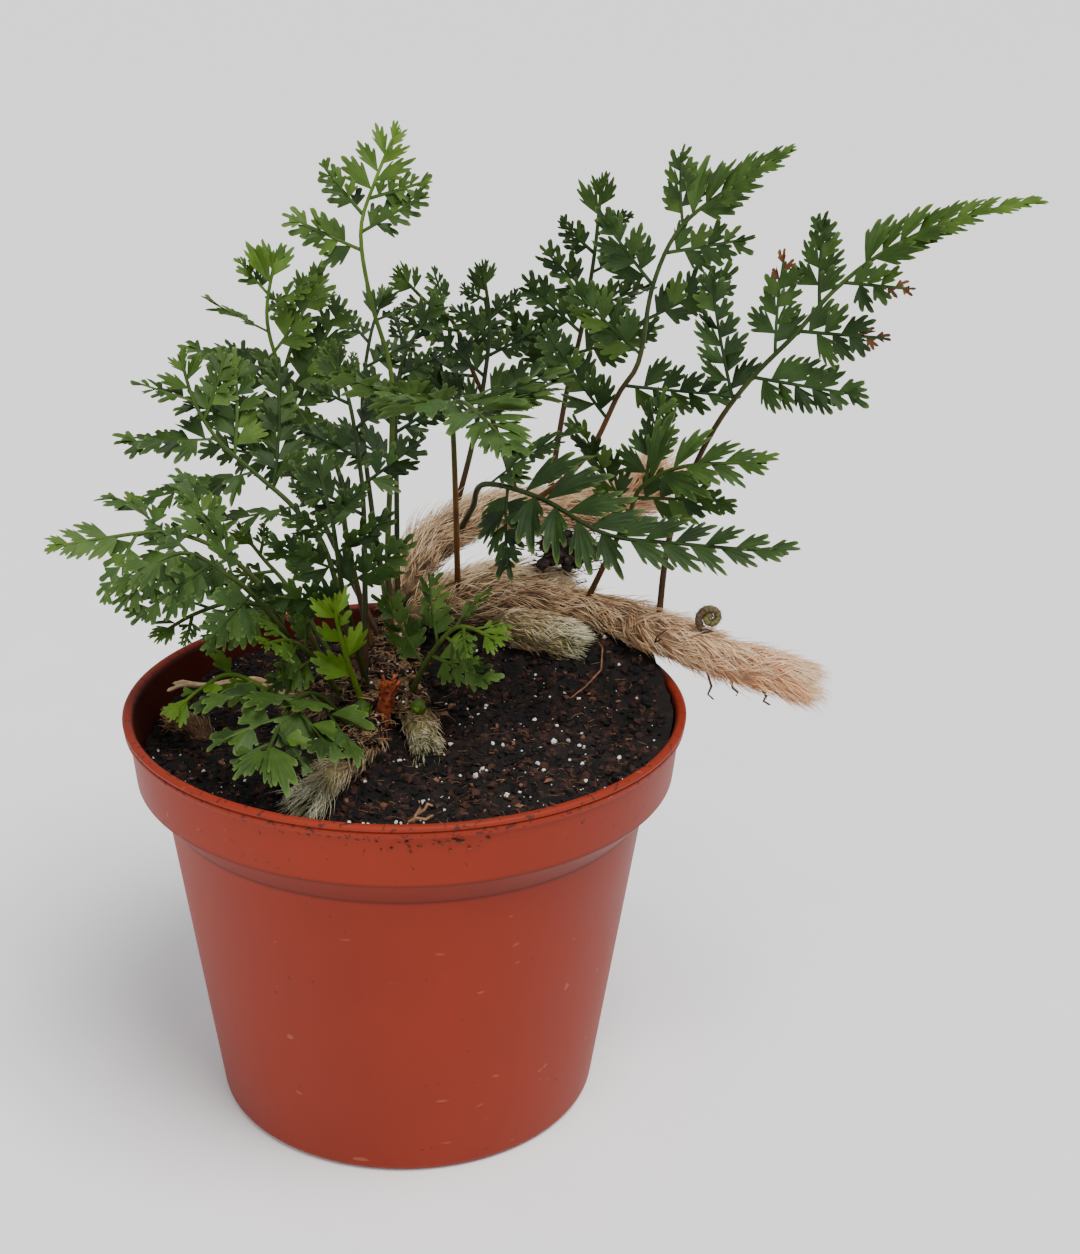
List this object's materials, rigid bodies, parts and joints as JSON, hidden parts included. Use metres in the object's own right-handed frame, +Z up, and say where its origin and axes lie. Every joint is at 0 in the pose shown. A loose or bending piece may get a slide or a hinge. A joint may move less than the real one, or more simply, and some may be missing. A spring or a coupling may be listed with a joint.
{
  "type": "potted fern",
  "caption": "Young rabbit's foot fern with furry creeping rhizomes and finely cut fronds, growing in peat in a round tapered nursery pot.",
  "frame": {"origin": "middle of the pot's underside, on the surface that the pot stands on", "axes": "+Z up along the pot's axis, -Y towards the viewer of the picture, +X to the viewer's right, the side to which the long rhizome creeps over the rim"},
  "size_m": [0.1982, 0.1363, 0.2074],
  "materials": {
    "pot": "smooth moulded terracotta-coloured polypropylene with a soft sheen",
    "peat": "moist loose peat with fibres, bark and perlite",
    "fur": "dense soft hairs on a creeping rhizome",
    "leaf": "semi-matte leathery leaf",
    "young_leaf": "softer light green leaf",
    "crozier": "scaly rolled-up young frond",
    "stub": "rusty scaly remains of an old frond stalk",
    "straw": "withered dry stalk"
  },
  "bodies": {
    "root": {"pot": "pot", "peat": "peat", "rhizome": "fur", "left_shoot": "fur", "crozier": "crozier", "old_stub": "stub", "dry_stalk": "straw", "frond_tall": "young_leaf", "frond_left": "leaf", "frond_far_left": "leaf", "frond_far_left_low": "leaf", "frond_upper_left": "young_leaf", "frond_upper_left_back": "leaf", "frond_middle_left": "leaf", "frond_middle_back": "leaf", "frond_back_left": "leaf", "frond_back_arch": "leaf", "frond_back_centre": "leaf", "frond_back_right": "leaf", "frond_main_right": "leaf", "frond_far_right": "young_leaf", "frond_low_right": "leaf", "frond_right_fan": "leaf", "frond_front_centre": "leaf", "frond_centre": "leaf", "frond_inner_left": "leaf", "frond_low_left": "leaf", "frond_low_inner": "leaf", "frond_left_tuft": "young_leaf", "frond_front_left": "young_leaf", "frond_young": "young_leaf", "frond_small_centre": "young_leaf"}
  },
  "joints": []
}
